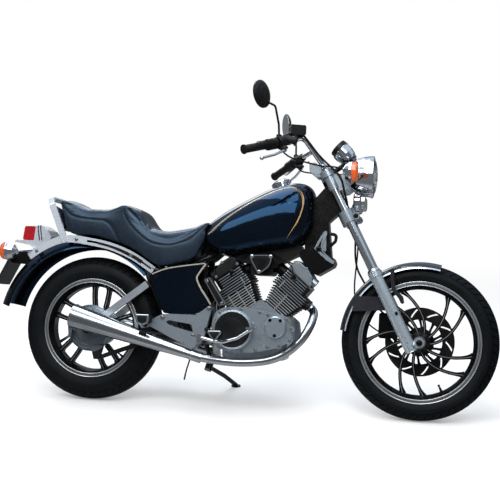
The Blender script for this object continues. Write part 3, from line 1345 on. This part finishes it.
RAIL_BOLTS = [(-540, 652), (-800, 714), (-985, 656)]
BRACKET_BOLTS = [(-360, 388), (-157, 436), (-220, 318), (-202, 279)]
RIDER_PEG_END = [(-131, 337), (-126, 342), (-84, 343), (-79, 338), (-99, 308), (-106, 307)]
PILLION_PEG_END = [(-452, 390), (-446, 394), (-402, 395), (-399, 390), (-402, 364), (-423, 355), (-446, 364)]


def rear_details():
    """Bolts of rails, brackets and final drive, and the raised rings and ribs of the brake plate."""
    bolts, drive, ribs = new_pieces(3)
    bolt_row(bolts, RAIL_BOLTS, 112, 6, 4)
    both_ways(bolts)
    for y in (-191, 191):
        bolt_row(bolts, BRACKET_BOLTS, y, 7, 5, True)
    done("rear_bolts", bolts, "steel")
    bolt_circle(drive, REAR_AXLE, 106, 66, range(0, 360, 45), 5, 4)
    bolt_row(drive, [(REAR_AXLE[0] - 50, REAR_AXLE[1] + 4)], 112, 9, 6)
    done("drive_bolts", drive, "steel")
    for radius in (90.0, 76.0, 60.0):
        add_bead(ribs, beside(REAR_AXLE, -80.0 - (90 - radius) * 0.2), ACROSS, radius, 1.4, 64)
    for angle in range(0, 360, 40):
        add_strip(ribs, [beside(REAR_AXLE, -81) + ray(angle) * 60, beside(REAR_AXLE, -80) + ray(angle) * 90],
                  [-ACROSS] * 2, 4, 4)
    done("brake_plate_ribs", ribs, "drum")


def scaled_outline(outline, factor):
    x_mid, z_mid = (sum(column) / len(outline) for column in zip(*outline))
    return [(x_mid + (x - x_mid) * factor, z_mid + (z - z_mid) * factor) for x, z in outline]


def peg_ends():
    """The end of each peg: a dark plate in a bright rim."""
    rims, fills = new_pieces(2)
    for side in (-1, 1):
        for outline, y in ((RIDER_PEG_END, 294), (PILLION_PEG_END, 270)):
            add_plate(rims, scaled_outline(outline, 1.16), side * y, side * (y + 5), 1.5)
            add_plate(fills, scaled_outline(outline, 0.84), side * (y + 4), side * (y + 6.5), 1.0)
    done("peg_end_rims", rims, "chrome")
    done("peg_end_plates", fills, "rubber")


def stay_tubes():
    """The frame tubes that show between the rails and the side covers."""
    bm = bmesh.new()
    for side in (-1, 1):
        add_wire(bm, [(-470, side * 100, 606), (-461, side * 108, 560), (-437, side * 110, 528),
                      (-386, side * 110, 418)], 9.5)
        add_wire(bm, [(-500, side * 92, 634), (-462, side * 100, 602), (-410, side * 104, 590)], 11.0)
    done("stay_tubes", bm, "frame")


rear_details()
peg_ends()
stay_tubes()


# Camera, light and floor

HORIZON = (0.17, 0.18, 0.19)
OVERHEAD = (0.72, 0.88, 1.05)
SKY_RISE = (0.36, 0.68)
SKY_COLOUR, SKY_STRENGTH = (0.95, 0.97, 1.0), 0.5
WHITE = (1.0, 1.0, 1.0)
FLOOR_COLOUR = (0.80, 0.80, 0.80)
FLOOR_RADIUS = 40.0
FLOOR_GLOW = 0.22
FADE_TO_WHITE = (1.7, 5.0)
FADE_TO_DARK = (0.4, 1.6)
# Each lamp: place, target, size, power, colour
LAMPS = {
    "key": ((-0.5, -2.9, 3.1), (0.1, 0.0, 0.6), (4.6, 1.3), 95.0, (1.0, 0.98, 0.96)),
    "overhead": ((-0.2, -0.1, 3.0), (0.0, 0.0, 0.4), (4.2, 1.3), 90.0, (0.86, 0.93, 1.0)),
    "behind": ((-1.6, 3.6, 2.6), (0.0, 0.0, 0.5), (2.4, 1.6), 40.0, (1.0, 1.0, 1.0)),
}


def looking(place, way):
    return Matrix.Translation(place) @ way.to_track_quat("-Z", "Y").to_matrix().to_4x4()


def aim_camera():
    lens = bpy.data.cameras.new("camera")
    lens.lens = LENS_MM
    lens.sensor_width = FILM_MM
    lens.sensor_fit = "HORIZONTAL"
    ahead = Vector((sin(VIEW_YAW) * cos(VIEW_PITCH), cos(VIEW_YAW) * cos(VIEW_PITCH), sin(VIEW_PITCH)))
    camera = placed("camera", lens)
    camera.matrix_world = looking(VIEW_PLACE, ahead) @ Matrix.Rotation(VIEW_ROLL, 4, "Z")
    bpy.context.scene.camera = camera


def light_up(name, place, target, size, power, colour):
    light = bpy.data.lights.new(name, "AREA")
    light.shape = "RECTANGLE"
    light.size, light.size_y = size
    light.energy = power
    light.color = colour
    placed(name, light).matrix_world = looking(place, Vector(target) - Vector(place))


def seen_directly(tree):
    """One where the camera sees the surface, straight or through clear glass, and nought elsewhere."""
    path = node_in(tree, "LightPath").outputs
    return maths(tree, "MAXIMUM", path["Is Camera Ray"], path["Is Transmission Ray"])


def glossy_ray(tree):
    return node_in(tree, "LightPath").outputs["Is Glossy Ray"]


def mix_shader(tree, mask, one, two):
    return node_in(tree, "MixShader", {"Fac": mask, 1: one.outputs[0], 2: two.outputs[0]})


def eased_range(tree, value, low, high, least=0.0):
    values = {"Value": value, "From Min": low, "From Max": high, "To Min": least}
    return node_in(tree, "MapRange", values, interpolation_type="SMOOTHSTEP").outputs["Result"]


def light_scene():
    """White behind the machine, an even pale sky that lights it, and a darker one that its metal reflects."""
    world = bpy.data.worlds.new("studio")
    bpy.context.scene.world = world
    world.use_nodes = True
    tree = world.node_tree
    tree.nodes.clear()
    way = node_in(tree, "TexCoord").outputs["Generated"]
    height = node_in(tree, "SeparateXYZ", {"Vector": way}).outputs["Z"]
    sky = mix_colour(tree, eased_range(tree, height, *SKY_RISE), HORIZON, OVERHEAD)
    mirrored = node_in(tree, "Background", {"Color": sky})
    lit = node_in(tree, "Background", {"Color": SKY_COLOUR, "Strength": SKY_STRENGTH})
    white = node_in(tree, "Background", {"Color": WHITE})
    shown = mix_shader(tree, seen_directly(tree), mix_shader(tree, glossy_ray(tree), lit, mirrored), white)
    node_in(tree, "OutputWorld", {"Surface": shown.outputs[0]})
    for name, values in LAMPS.items():
        light_up(name, *values)


def lay_floor():
    """A pale floor that keeps the shadow near the machine and fades to plain white further out.

    What metal and paint reflect of it fades to the dimness of the horizon instead."""
    bm = bmesh.new()
    bmesh.ops.create_circle(bm, cap_ends=True, segments=64, radius=FLOOR_RADIUS)
    mesh = bpy.data.meshes.new("floor")
    bm.to_mesh(mesh)
    bm.free()
    material, tree, shader = new_material("pale_floor")
    seen = seen_directly(tree)
    feed(tree, shader, {"Base Color": FLOOR_COLOUR, "Roughness": 0.9, "Specular IOR Level": 0.1,
                        "Emission Color": WHITE, "Emission Strength": spread(tree, seen, 0.0, FLOOR_GLOW)})
    reach = node_in(tree, "VectorMath", {0: object_place(tree)}, operation="LENGTH").outputs["Value"]
    far = maths(tree, "MULTIPLY", eased_range(tree, reach, *FADE_TO_WHITE), seen)
    dim = maths(tree, "MULTIPLY", eased_range(tree, reach, *FADE_TO_DARK, 0.45), glossy_ray(tree))
    mirrored = mix_shader(tree, dim, shader, node_in(tree, "Emission", {"Color": HORIZON}))
    shown = mix_shader(tree, far, mirrored, node_in(tree, "Emission"))
    feed(tree, tree.nodes["Material Output"], {"Surface": shown.outputs[0]})
    mesh.materials.append(material)
    placed("floor", mesh)


aim_camera()
light_scene()
lay_floor()
bpy.context.scene.view_settings.view_transform = "Standard"
